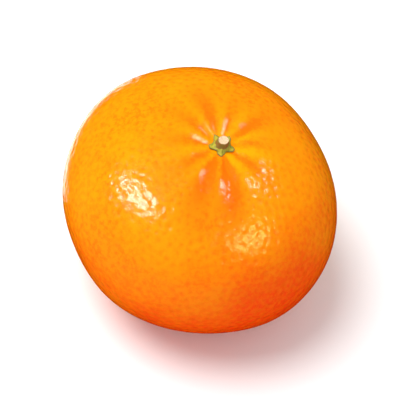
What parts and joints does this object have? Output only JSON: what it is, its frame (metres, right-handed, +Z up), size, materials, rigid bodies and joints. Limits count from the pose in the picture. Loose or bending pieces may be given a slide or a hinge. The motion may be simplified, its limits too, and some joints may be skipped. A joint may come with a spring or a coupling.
{
  "type": "mandarin",
  "caption": "Whole ripe mandarin as picked, with a furrowed neck, a green star calyx and a cut stem stub, resting on a small flat spot.",
  "frame": {"origin": "on the resting surface, under the middle of the fruit's bounding box", "axes": "+Z up, the fruit's shortest extent; the stem end is on top, its axis leaning 7.5 degrees from +Z towards +X and a little towards -Y; -Y faces the picture's camera"},
  "size_m": [0.0624, 0.0618, 0.0504],
  "materials": {
    "rind": "satin",
    "calyx": "matte",
    "stem_stub": "matte"
  },
  "bodies": {
    "root": {"rind": "rind", "calyx": "calyx", "stem_stub": "stem_stub"}
  },
  "joints": []
}
